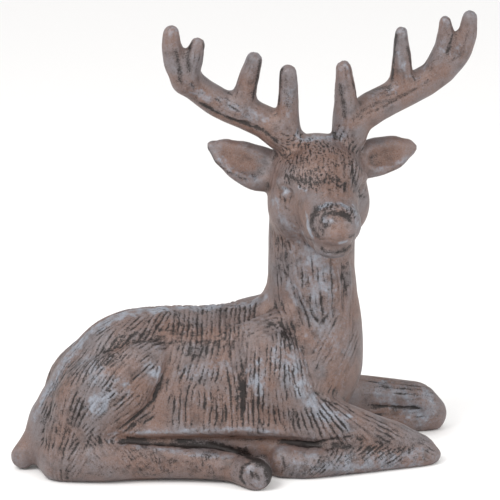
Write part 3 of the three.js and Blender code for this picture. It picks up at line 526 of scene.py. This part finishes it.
@dataclass
class Surface:
    """A fine even mesh as arrays, so that all its points are carved at once. Metres."""

    mesh: bpy.types.Mesh
    places: np.ndarray
    normals: np.ndarray
    near: np.ndarray

    @classmethod
    def of(cls, mesh: bpy.types.Mesh) -> Surface:
        """Reads a mesh.

        Args:
            mesh: The mesh that is to be carved.

        Returns:
            Its points, normals and, for each point, itself and the points beside it.
        """
        count = len(mesh.vertices)
        edges = np.empty(len(mesh.edges) * 2, np.int32)
        mesh.edges.foreach_get("vertices", edges)
        edges = edges.reshape(-1, 2)
        pairs = np.concatenate([edges, edges[:, ::-1]])
        pairs = pairs[np.argsort(pairs[:, 0], kind="stable")]
        first = np.searchsorted(pairs[:, 0], np.arange(count))
        rank = np.arange(len(pairs)) - first[pairs[:, 0]]
        near = np.repeat(np.arange(count, dtype=np.int32)[:, None], BESIDE + 1, axis=1)
        kept = rank < BESIDE
        near[pairs[kept, 0], rank[kept] + 1] = pairs[kept, 1]
        surface = cls(mesh, np.empty((count, 3), np.float32), np.empty((count, 3), np.float32), near)
        surface.read()
        return surface

    def read(self) -> None:
        """Takes the points and normals from the mesh."""
        flat = np.empty(self.places.size, np.float32)
        self.mesh.vertices.foreach_get("co", flat)
        self.places = flat.reshape(-1, 3).copy()
        self.mesh.vertex_normals.foreach_get("vector", flat)
        self.normals = flat.reshape(-1, 3).copy()

    def put(self, places: np.ndarray) -> None:
        """Moves all the points to new places."""
        self.mesh.vertices.foreach_set("co", places.astype(np.float32).ravel())
        self.mesh.update()
        self.read()

    def push(self, heights: np.ndarray) -> None:
        """Moves each point along its normal, by its height in metres."""
        self.put(self.places + self.normals * heights[:, None].astype(np.float32))

    def smoothed(self, values: np.ndarray, rounds: int) -> np.ndarray:
        """Averages values with those beside them.

        Args:
            values: A number or a vector for each point.
            rounds: How many times.

        Returns:
            The smoothed values.
        """
        for _ in range(rounds):
            total = values.copy()
            for column in range(1, self.near.shape[1]):
                total += values[self.near[:, column]]
            values = total / self.near.shape[1]
        return values

    def cloud(self, rng: np.random.Generator, rounds: int) -> np.ndarray:
        """Makes soft random patches, wider with more rounds, with a middle of 0 and a spread of 1.

        Args:
            rng: The source of chance.
            rounds: How many times the grain is smoothed.

        Returns:
            A number for each point.
        """
        grain = self.smoothed(rng.normal(size=len(self.places)).astype(np.float32), rounds)
        return (grain - grain.mean()) / grain.std()

    def meet(self, solid: BVHTree) -> None:
        """Moves the skin out to where the solid lies on average, because rounding has drawn it in."""
        spots = np.array([solid.find_nearest(place)[0] for place in self.places.tolist()], np.float32)
        gaps = ((spots - self.places) * self.normals).sum(1)
        self.push(self.smoothed(np.clip(gaps, -INWARD, OUTWARD), MEET_ROUNDS))

    def streaked(self, grain: np.ndarray, flow: np.ndarray, step: float, count: int) -> np.ndarray:
        """Smears a grain along the lie of the coat, both ways, which draws it out into strands.

        Each step hops twice from a point to the one beside it that lies nearest, and then back onto the skin.

        Args:
            grain: The grain at each point.
            flow: The direction of the coat at each point, of unit length.
            step: The length of one step, in metres.
            count: The steps each way.

        Returns:
            The smeared grain, with the same spread everywhere.
        """
        total = grain.copy()
        rows = np.arange(len(grain))
        for way in (1.0, -1.0):
            at = rows.copy()
            place = self.places.copy()
            for k in range(1, count + 1):
                place = place + way * step * flow[at]
                for _ in range(2):
                    choices = self.near[at]
                    gaps = ((self.places[choices] - place[:, None]) ** 2).sum(-1)
                    at = choices[rows, gaps.argmin(1)]
                off = ((place - self.places[at]) * self.normals[at]).sum(-1)
                place = place - off[:, None] * self.normals[at]
                total += (0.5 + 0.5 * math.cos(math.pi * k / (count + 1))) * grain[at]
        total -= self.smoothed(total, EVEN_ROUNDS)
        spread = np.sqrt(self.smoothed(total**2, EVEN_ROUNDS)) + 1e-6
        return total / spread

    def reach(self, line: np.ndarray) -> tuple[np.ndarray, np.ndarray]:
        """Measures each point's distance to a line.

        Args:
            line: The line's points, in metres.

        Returns:
            The distances in metres, and how far along the line each nearest place is, 0 to 1.
        """
        best = np.full(len(self.places), 1e9, np.float32)
        along = np.zeros(len(self.places), np.float32)
        lengths = np.linalg.norm(np.diff(line, axis=0), axis=1)
        whole = max(float(lengths.sum()), 1e-9)
        passed = 0.0
        for a, b, length in zip(line[:-1], line[1:], lengths):
            way = b - a
            share = np.clip(((self.places - a) @ way) / max(float(way @ way), 1e-12), 0, 1)
            gap = ((self.places - a - share[:, None] * way) ** 2).sum(1)
            closer = gap < best
            best = np.where(closer, gap, best)
            along = np.where(closer, (passed + share * length) / whole, along)
            passed += float(length)
        return np.sqrt(best), along

    def keep(self, name: str, values: np.ndarray) -> None:
        """Stores a number for each point on the mesh, for its material."""
        layer = self.mesh.attributes.new(name, "FLOAT", "POINT")
        layer.data.foreach_set("value", np.clip(values, 0, 1).astype(np.float32))


@dataclass(frozen=True)
class Coat:
    """The carved hair: combed clumps of parallel cuts, broken into dashes, over soft locks. Millimetres.

    Grains are in rounds of smoothing, and each is drawn out over its own number of steps.
    """

    strokes: tuple[Stroke, ...]
    # How far a stroke reaches, and the power that keeps each clump's cuts to itself.
    spread: float = 12.0
    own_power: int = 5
    # Where in a stroke's reach, from 0 to 1, the coat starts, and over how much it sets in.
    edge: float = 0.12
    edge_width: float = 0.4
    depth_rounds: int = 6
    comb_depth: float = 1.1
    hair_depth: float = 0.45
    lock_depth: float = 0.8
    # How dark each layer makes a place.
    comb_shade: float = 0.72
    hair_shade: float = 0.2
    lock_shade: float = 0.2
    step: float = 1.2
    hair_steps: int = 7
    dash_steps: int = 15
    lock_steps: int = 12
    worm_steps: int = 2
    hair_grain: int = 1
    dash_grain: int = 3
    lock_grain: int = 12
    patch_grain: int = 45
    # A grain keeps only what is finer than this.
    hair_limit: int = 3
    worm_limit: int = 4
    dash_limit: int = 9
    # How far the cuts wander, as a share of their spacing, and how smoothly.
    waver: float = 0.07
    waver_grain: int = 14
    # How steep and how narrow a cut is, and how much the dashes break it.
    comb_gain: float = 1.35
    comb_floor: float = 0.32
    dash_break: float = 0.16
    # The deepest that a hair or a lock may go, as a share of its depth.
    deepest: float = 1.2

    def lie(self, surface: Surface, rng: np.random.Generator) -> tuple[np.ndarray, np.ndarray, np.ndarray]:
        """Works out the direction, the depth and the combing of the coat from its strokes.

        Args:
            surface: The skin.
            rng: The source of chance.

        Returns:
            For each point a unit direction along the skin, a depth from 0 to 1, and where it lies across the
            clump's cuts, from -1 between them to 1 in them.
        """
        count = len(surface.places)
        flow = np.zeros_like(surface.places)
        weight, depth, top, comb, combed = (np.zeros(count, np.float32) for _ in range(5))
        waver = self.waver * surface.cloud(rng, self.waver_grain)
        for stroke in self.strokes:
            shift = rng.random()
            for line in on_sides((stroke.start, stroke.end), stroke.sides):
                way = (line[1] - line[0]) / np.linalg.norm(line[1] - line[0])
                middle = line.mean(0)
                share = np.exp(-((surface.reach(line)[0] / (self.spread * MM)) ** 2))
                flow += share[:, None] * way
                depth += share * stroke.depth
                weight += share
                top = np.maximum(top, share)
                under = ((surface.places - middle) ** 2).sum(1).argmin()
                side = np.cross(surface.normals[under], way)
                across = (surface.places - middle) @ side / (stroke.pitch * MM)
                own = share**self.own_power
                comb += own * np.cos(2 * math.pi * (across + waver + shift))
                combed += own
        depth = depth / np.maximum(weight, 1e-6) * np.clip((top - self.edge) / self.edge_width, 0, 1)
        flow -= (flow * surface.normals).sum(1)[:, None] * surface.normals
        flow /= np.linalg.norm(flow, axis=1)[:, None] + 1e-9
        depth = surface.smoothed(depth, self.depth_rounds)
        return flow.astype(np.float32), depth, comb / np.maximum(combed, 1e-9)

    def heights(
        self, surface: Surface, rng: np.random.Generator
    ) -> tuple[np.ndarray, np.ndarray, np.ndarray]:
        """Draws the cuts, the hairs and the locks.

        Args:
            surface: The skin.
            rng: The source of chance.

        Returns:
            How far each point is cut in, below nothing, in metres, how dark its groove is, and a worm-like
            grain for the speckle.
        """
        flow, depth, comb = self.lie(surface, rng)
        step = self.step * MM
        fine = surface.cloud(rng, self.hair_grain)
        hairs = surface.streaked(fine - surface.smoothed(fine, self.hair_limit), flow, step, self.hair_steps)
        middle = surface.cloud(rng, self.dash_grain)
        middle = middle - surface.smoothed(middle, self.dash_limit)
        dashes = surface.streaked(middle, flow, step, self.dash_steps)
        locks = surface.streaked(surface.cloud(rng, self.lock_grain), flow, step, self.lock_steps)
        worms = surface.streaked(fine - surface.smoothed(fine, self.worm_limit), flow, step, self.worm_steps)
        vary = varied(surface.cloud(rng, self.patch_grain), 0.8, 0.28, 0.4, 1.2)
        groove = np.clip(self.comb_gain * comb - self.comb_floor - self.dash_break * dashes, 0, 1)
        broad = varied(locks, 0.25, -0.5, 0, self.deepest)
        hair = varied(hairs, 0.45, -0.45, 0, self.deepest)
        cut = self.comb_depth * groove * vary + self.hair_depth * hair + self.lock_depth * broad
        dark = self.comb_shade * groove * vary + self.lock_shade * broad * vary + self.hair_shade * hair
        return -depth * cut * MM, depth * dark, worms


@dataclass(frozen=True)
class RubbedIron:
    """Sand-cast iron, painted brown and rubbed back.

    To the eye it is a warm matt brown, near black in the cuts, where dirt and old paint stay, and cool grey
    on the ridges, where it is rubbed through to the metal. The near black is also painted shadow in the gap
    under the flank and beside the hoof, and the grey is also painted light on the neck and along the top rim.
    """

    name: str = "rubbed brown cast iron"
    brown: str = "#6e5347"
    dull_brown: str = "#696060"
    black: str = "#1c1412"
    grey: str = "#878b94"
    roughness: float = 0.5
    metallic: float = 0.2

    def material(self) -> bpy.types.Material:
        """Builds the finish."""
        material = bpy.data.materials.new(self.name)
        material.use_nodes = True
        tree = material.node_tree
        shader = tree.nodes["Principled BSDF"]
        where = add_node(tree, "ShaderNodeTexCoord", {}).outputs["Object"]
        stored = {
            name: add_node(tree, "ShaderNodeAttribute", {}, attribute_name=name).outputs["Fac"]
            for name in ("recess", "ridge", "grey", "brown")
        }

        def noise(patches: float, detail: float, roughness: float = 0.5) -> bpy.types.NodeSocket:
            """Makes a noise with so many patches to the metre."""
            inputs = {"Vector": where, "Scale": patches, "Detail": detail, "Roughness": roughness}
            return add_node(tree, "ShaderNodeTexNoise", inputs).outputs["Fac"]

        def remap(source: Any, low: float, high: float, to_low: float = 0.0, to_high: float = 1.0) -> Any:
            """Stretches a value from one range to another."""
            values = {"Value": source, "From Min": low, "From Max": high, "To Min": to_low, "To Max": to_high}
            return add_node(tree, "ShaderNodeMapRange", values).outputs["Result"]

        def blend(factor: Any, first: Any, second: Any) -> Any:
            """Mixes two colours."""
            inputs = {"Factor": factor, "A": first, "B": second}
            return add_node(tree, "ShaderNodeMix", inputs, data_type="RGBA").outputs["Result"]

        def combine(operation: str, first: Any, second: Any) -> Any:
            """Combines two values, kept between 0 and 1."""
            return add_node(
                tree, "ShaderNodeMath", {0: first, 1: second}, operation=operation, use_clamp=True
            ).outputs[0]

        def ragged(source: Any, pattern: Any, low: float, high: float) -> Any:
            """Gives the edges of a tone the raggedness of a noise."""
            spread = remap(pattern, 0.3, 0.7, -0.3, 0.3)
            total = add_node(tree, "ShaderNodeMath", {0: source, 1: spread}, operation="ADD").outputs[0]
            return remap(total, low, high)

        # Clouds of paint, blotches of dirt with ragged edges, flecks where the paint has worn off, and the
        # grain of the casting sand, drawn at 1.1 mm so that it shows.
        clouds = noise(32.0, 4.0)
        blotches = noise(85.0, 7.0, 0.65)
        flecks = noise(330.0, 5.0, 0.6)
        sand = noise(900.0, 4.0)
        # The paint: warm where it is whole, duller in clouds.
        cloudy = remap(clouds, 0.36, 0.64, 0.15, 0.95)
        dull = combine("MULTIPLY", cloudy, remap(stored["brown"], 0.0, 1.0, 1.0, 0.05))
        body = blend(dull, linear(self.brown), linear(self.dull_brown))
        # The metal, rubbed bare on the ridges, in the grey places and on single grains of sand. Some grey
        # places are painted light: a painted highlight along the top rim, and brighter grey on the front of
        # the neck.
        bare_and_lit = ragged(stored["grey"], flecks, 0.25, 1.05)
        ridges = combine("MULTIPLY", stored["ridge"], remap(flecks, 0.38, 0.62))
        rubbed = combine("MAXIMUM", bare_and_lit, ridges)
        worn = blend(rubbed, body, linear(self.grey))
        worn = blend(remap(sand, 0.52, 0.3, 0.0, 0.22), worn, linear(self.grey))
        # The dirt: thin all over a cut, thick in its ragged middle, and in blotches and dots elsewhere. The
        # recess also carries painted shadow, black in the gap under the flank and beside the hoof.
        thin = combine("MULTIPLY", stored["recess"], 0.5)
        thick = combine("MULTIPLY", ragged(stored["recess"], sand, 0.2, 0.85), 0.95)
        grime = combine("MAXIMUM", remap(blotches, 0.5, 0.68, 0.0, 0.42), remap(sand, 0.6, 0.72, 0.0, 0.35))
        dirt_and_shadow = combine("ADD", combine("MAXIMUM", thin, thick), grime)
        tree.links.new(blend(dirt_and_shadow, worn, linear(self.black)), shader.inputs["Base Color"])
        rough = remap(flecks, 0.0, 1.0, self.roughness - 0.12, self.roughness + 0.15)
        tree.links.new(rough, shader.inputs["Roughness"])
        # The sand grains stand up to 0.7 mm proud.
        bump = add_node(tree, "ShaderNodeBump", {"Height": sand, "Strength": 0.6, "Distance": 0.7 * MM})
        tree.links.new(bump.outputs["Normal"], shader.inputs["Normal"])
        shader.inputs["Metallic"].default_value = self.metallic
        return material


@dataclass
class Stag:
    """The casting: body, head, antlers and legs in one piece. Millimetres."""

    node: str = "stag"
    voxel: float = 1.15
    # Rounds of smoothing that take the steps of the voxels off.
    polish: int = 5
    # The triangles that are left, and how strongly they are kept for the side that shows.
    facets: int = 194_000
    favour: float = 2e-5
    speckle_depth: float = 0.7
    # The share of a cut's length over which each end fades.
    fade: float = 0.22
    # How sharply a stain's edge sets in, and how ragged it is.
    edge_gain: float = 1.8
    edge_ragged: float = 0.25
    # Chance patches, in rounds of smoothing: for edges, cuts, grey places and the whole paint.
    edge_grain: int = 4
    wobble_grain: int = 6
    grey_grain: int = 20
    patch_grain: int = 60
    # The surroundings from which the relief is told, in rounds, and how much each counts.
    close_rounds: int = 4
    broad_rounds: int = 14
    close_share: float = 2.2
    broad_share: float = 0.9
    seed: int = 11
    coat: Coat = field(default_factory=lambda: Coat(COAT))
    cuts: tuple[Cut, ...] = CUTS
    stains: dict[Tone, tuple[Stain, ...]] = field(default_factory=lambda: STAINS)
    finish: RubbedIron = field(default_factory=RubbedIron)

    def skin(self) -> tuple[bpy.types.Object, BVHTree]:
        """Copies the solid and gives it a fine even skin.

        Returns:
            The new piece, at the origin, and the solid to measure against.
        """
        shell = bmesh.new()
        shell.from_mesh(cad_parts[self.node].data)
        bmesh.ops.remove_doubles(shell, verts=shell.verts, dist=1e-6)
        solid = BVHTree.FromBMesh(shell)
        mesh = bpy.data.meshes.new("carved_stag")
        shell.to_mesh(mesh)
        shell.free()
        piece = bpy.data.objects.new("carved_stag", mesh)
        bpy.context.scene.collection.objects.link(piece)
        round_off = piece.modifiers.new("round", "SUBSURF")
        round_off.levels = round_off.render_levels = 2
        even = piece.modifiers.new("even", "REMESH")
        even.mode = "VOXEL"
        even.voxel_size = self.voxel * MM
        self.settle(piece)
        return piece, solid

    def settle(self, piece: bpy.types.Object) -> None:
        """Applies a piece's modifiers."""
        graph = bpy.context.evaluated_depsgraph_get()
        mesh = bpy.data.meshes.new_from_object(piece.evaluated_get(graph))
        piece.modifiers.clear()
        piece.data = mesh
        mesh.name = piece.name

    def stained(self, surface: Surface, tone: Tone, ragged: np.ndarray) -> np.ndarray:
        """Adds up the stains of one tone.

        Args:
            surface: The skin.
            tone: The tone.
            ragged: Soft chance patches that break up the stains' edges.

        Returns:
            Its strength, 0 to 1, for each point.
        """
        total = np.zeros(len(surface.places), np.float32)
        for stain in self.stains[tone]:
            for line in on_sides(stain.points, stain.sides):
                inside = 1 - surface.reach(line)[0] / (stain.width * MM)
                share = np.clip(inside * self.edge_gain + self.edge_ragged * ragged, 0, 1)
                total = np.maximum(total, stain.amount * share)
        return total

    def carve(self, surface: Surface, rng: np.random.Generator) -> np.ndarray:
        """Cuts the coat, the speckle and the lines.

        Args:
            surface: The skin, which is changed.
            rng: The source of chance.

        Returns:
            How dark the cuts are, from 0 to 1, for each point.
        """
        heights, shade, worms = self.coat.heights(surface, rng)
        wobble = surface.cloud(rng, self.wobble_grain)
        # The speckle takes the place of a part of the coat.
        speckled = self.stained(surface, Tone.SPECKLE, wobble)
        speckle = speckled * np.clip(-worms - 0.15, 0, 1.2)
        heights = heights * (1 - 0.6 * speckled) - speckle * self.speckle_depth * MM
        shade = shade * (1 - 0.5 * speckled) + 0.85 * speckle
        for cut in self.cuts:
            for line in on_sides(cut.points, cut.sides):
                gap, along = surface.reach(line)
                share = np.exp(-((gap / (cut.width * MM)) ** 2))
                if not cut.even:
                    share = share * np.clip(np.minimum(along, 1 - along) / self.fade, 0.15, 1)
                    share = share * varied(wobble, 0.8, 0.28, 0.25, 1.2)
                heights = heights - share * cut.depth * MM
                shade = np.maximum(shade, share * cut.shade)
        surface.push(heights)
        return shade

    def paint(self, surface: Surface, shade: np.ndarray, rng: np.random.Generator) -> None:
        """Stores where dirt stays and where the paint is rubbed through, with the painted shadow of some
        black stains and the painted light of some grey ones.

        Args:
            surface: The carved skin.
            shade: How dark the cuts are.
            rng: The source of chance.
        """
        # The relief: how far each point stands out from narrow and from wide surroundings, millimetres.
        close = surface.smoothed(surface.places, self.close_rounds)
        broad = surface.smoothed(close, self.broad_rounds)
        fine = ((surface.places - close) * surface.normals).sum(1) / MM
        wide = ((close - broad) * surface.normals).sum(1) / MM
        relief = surface.smoothed(fine * self.close_share + wide * self.broad_share, 1)
        patches = varied(surface.cloud(rng, self.patch_grain), 0.85, 0.35, 0.3, 1.3)
        ragged = surface.cloud(rng, self.edge_grain)
        dirt = self.stained(surface, Tone.DIRT, ragged)
        blots = dirt * varied(ragged, 0.35, 0.6, 0, 1)
        black = self.stained(surface, Tone.BLACK, ragged)
        # Dirt stays in the hollows and the cuts, more so where the dirt stains lie.
        hollows = np.maximum(-relief - 0.1, 0) * 1.1
        recess = (hollows + shade) * patches * (1 + 0.6 * dirt) + 0.85 * blots
        grey_strength = varied(surface.cloud(rng, self.grey_grain), 0.8, 0.25, 0.1, 1.1)
        grey = self.stained(surface, Tone.GREY, ragged) * grey_strength
        # The black stains go in with the dirt. Those under the flank and beside the hoof are painted shadow.
        surface.keep("recess", np.maximum(recess, black))
        surface.keep("ridge", relief * patches * (0.5 + 0.9 * grey))
        surface.keep("grey", grey)
        surface.keep("brown", self.stained(surface, Tone.BROWN, ragged))

    def plainer(self, piece: bpy.types.Object, surface: Surface) -> str:
        """Marks how plain each point may become: the far flank and the underside the most.

        Args:
            piece: The piece.
            surface: Its carved skin.

        Returns:
            The name of the vertex group.
        """
        group = piece.vertex_groups.new(name="plainer")
        levels = 8
        far = np.clip(surface.normals[:, 1] * 1.2 + 0.3, 0, 1)
        under = np.clip(-surface.normals[:, 2] * 1.5 - 0.6, 0, 1)
        level = np.round(np.maximum(far, under) * levels).astype(int)
        for step in range(levels + 1):
            group.add(np.flatnonzero(level == step).tolist(), max(step / levels, 0.02), "REPLACE")
        return group.name

    def build(self) -> None:
        """Makes the carved stag in place of its solid."""
        low, high = (np.array(corner, np.float32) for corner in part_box(self.node))
        piece, solid = self.skin()
        surface = Surface.of(piece.data)
        log.info("skin: %d points", len(surface.places))
        surface.put(surface.smoothed(surface.places, self.polish))
        surface.meet(solid)
        rng = np.random.default_rng(self.seed)
        shade = self.carve(surface, rng)
        surface.put(np.clip(surface.places, low, high))
        self.paint(surface, shade, rng)
        thin = piece.modifiers.new("thin", "DECIMATE")
        thin.vertex_group = self.plainer(piece, surface)
        thin.vertex_group_factor = self.favour
        faces = sum(len(p.vertices) - 2 for p in piece.data.polygons)
        thin.ratio = min(1.0, self.facets / faces)
        self.settle(piece)
        piece.data.shade_smooth()
        piece.data.materials.clear()
        piece.data.materials.append(self.finish.material())
        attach(piece, "root")
        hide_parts(self.node)
        log.info("carved stag: %d triangles", sum(len(p.vertices) - 2 for p in piece.data.polygons))


@dataclass(frozen=True)
class Lamp:
    """A square soft lamp: its place and side in metres, and its power in watts."""

    name: str
    place: Place
    power: float
    size: float = 0.8


@dataclass(frozen=True)
class Studio:
    """The pale floor, the soft light and the camera at the photograph's place. Metres and degrees."""

    turn: float = -9.0
    rise: float = 15.0
    distance: float = 2.4
    aim: Place = (0.00805, 0.003727, 0.194)
    # The lens and the width of the picture behind it, millimetres.
    lens: float = 192.0
    sensor: float = 36.0
    # What the lamps point at.
    lit: Place = (0.0, 0.0, 0.2)
    lamps: tuple[Lamp, ...] = (Lamp("key", (-1.0, -0.8, 1.4), 22.0), Lamp("fill", (1.2, -1.0, 0.8), 8.5))
    sky: float = 1.0
    # Half the floor's width.
    reach: float = 6.0
    floor_colour: str = "#f4f3f2"
    floor_roughness: float = 0.8

    def floor(self) -> None:
        """Lays the floor."""
        sheet = bmesh.new()
        bmesh.ops.create_grid(sheet, x_segments=1, y_segments=1, size=self.reach)
        mesh = bpy.data.meshes.new("floor")
        sheet.to_mesh(mesh)
        sheet.free()
        floor = bpy.data.objects.new("floor", mesh)
        bpy.context.scene.collection.objects.link(floor)
        material = bpy.data.materials.new("pale painted floor")
        material.use_nodes = True
        shader = material.node_tree.nodes["Principled BSDF"]
        shader.inputs["Base Color"].default_value = linear(self.floor_colour)
        shader.inputs["Roughness"].default_value = self.floor_roughness
        mesh.materials.append(material)
        log.info("floor: %.0f m wide", 2 * self.reach)

    def hang(self, lamp: Lamp) -> None:
        """Hangs a lamp that points at the stag."""
        light = bpy.data.lights.new(lamp.name, "AREA")
        light.size = lamp.size
        light.energy = lamp.power
        piece = bpy.data.objects.new(lamp.name, light)
        bpy.context.scene.collection.objects.link(piece)
        piece.location = lamp.place
        way = Vector(self.lit) - Vector(lamp.place)
        piece.rotation_euler = way.to_track_quat("-Z", "Y").to_euler()
        log.info("%s lamp: %.1f W", lamp.name, lamp.power)

    def camera(self) -> None:
        """Stands the camera where the photograph was taken from."""
        camera = bpy.data.cameras.new("camera")
        camera.lens = self.lens
        camera.sensor_width = self.sensor
        seat = bpy.data.objects.new("camera", camera)
        bpy.context.scene.collection.objects.link(seat)
        turn = math.radians(self.turn)
        rise = math.radians(self.rise)
        back = Vector((math.sin(turn) * math.cos(rise), -math.cos(turn) * math.cos(rise), math.sin(rise)))
        seat.location = Vector(self.aim) + back * self.distance
        seat.rotation_euler = (-back).to_track_quat("-Z", "Y").to_euler()
        bpy.context.scene.camera = seat

    def build(self) -> None:
        """Sets up floor, light and camera."""
        self.floor()
        world = bpy.data.worlds.new("studio")
        bpy.context.scene.world = world
        world.use_nodes = True
        background = world.node_tree.nodes["Background"]
        background.inputs["Color"].default_value = (1.0, 1.0, 1.0, 1.0)
        background.inputs["Strength"].default_value = self.sky
        for lamp in self.lamps:
            self.hang(lamp)
        bpy.context.scene.view_settings.view_transform = "Standard"
        self.camera()


def main() -> None:
    """Builds the stag and its studio."""
    logging.basicConfig(level=logging.INFO, format="%(name)s: %(message)s")
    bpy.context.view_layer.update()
    Stag().build()
    Studio().build()


if __name__ == "__main__":
    main()
